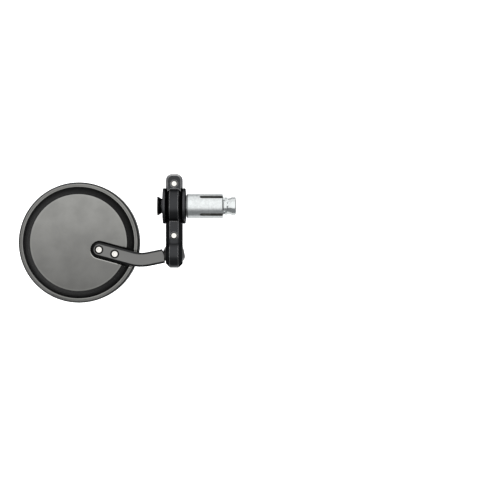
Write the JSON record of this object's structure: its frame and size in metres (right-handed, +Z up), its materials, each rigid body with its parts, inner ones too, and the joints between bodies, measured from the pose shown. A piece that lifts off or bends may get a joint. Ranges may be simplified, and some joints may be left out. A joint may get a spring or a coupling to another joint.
{
  "type": "motorcycle bar end mirror",
  "caption": "Round bar end mirror on a cranked arm, with a ball joint, a split clamp link and an expanding sleeve that is fixed inside a handlebar tube.",
  "frame": {"origin": "on the axis of the expanding sleeve, where its full diameter begins at the shoulder", "axes": "+X into the handlebar tube along the sleeve, +Z up, +Y the way the glass faces"},
  "size_m": [0.1442, 0.0247, 0.0854],
  "materials": {
    "housing_paint": "satin",
    "arm_paint": "satin",
    "black_anodised": "satin",
    "black_steel": "satin",
    "zinc_plated": "satin",
    "stainless": "polished",
    "mirror": "polished",
    "rubber": "matte",
    "foam": "matte"
  },
  "bodies": {
    "bar_end": {"expanding_sleeve": "zinc_plated", "spacer_cone": "zinc_plated", "inner_flange": "black_anodised", "clamp_hub": "zinc_plated", "outer_flange": "black_anodised", "cup_washer": "black_anodised"},
    "bolt": {"expander_bolt": "black_steel"},
    "wedge": {"wedge_nut": "zinc_plated"},
    "link": {"link": "black_anodised", "ring_clamp_screw": "stainless", "socket_clamp_screw": "stainless"},
    "ball": {"pivot_ball": "black_steel"},
    "mirror_arm": {"arm": "arm_paint", "ball_end_screw": "stainless", "arm_screw_end": "stainless", "arm_screw_rim": "stainless", "housing": "housing_paint", "mirror_glass": "mirror", "glass_backing": "foam", "glass_gasket": "rubber"}
  },
  "joints": [
    {"name": "link_turn", "type": "hinge", "parent": "bar_end", "child": "link", "pos_m": [0, 0, 0], "axis": [1, 0, 0], "continuous": true},
    {"name": "ball_swing", "type": "hinge", "parent": "link", "child": "ball", "pos_m": [-0.009, 0, -0.0316], "axis": [0, 0, 1], "range_deg": [-10, 10]},
    {"name": "arm_roll", "type": "hinge", "parent": "ball", "child": "mirror_arm", "pos_m": [-0.009, 0, -0.0316], "axis": [0.9799, 0, 0.1994], "continuous": true},
    {"name": "bolt_turn", "type": "hinge", "parent": "bar_end", "child": "bolt", "pos_m": [0, 0, 0], "axis": [1, 0, 0], "range_deg": [0, 900]},
    {"name": "wedge_slide", "type": "slide", "parent": "bar_end", "child": "wedge", "axis": [-1, 0, 0], "range_m": [0, 0.0025]}
  ],
  "couplings": [
    {"joint": "bolt_turn", "follows": "wedge_slide", "rad_per_m": 6283.2}
  ]
}
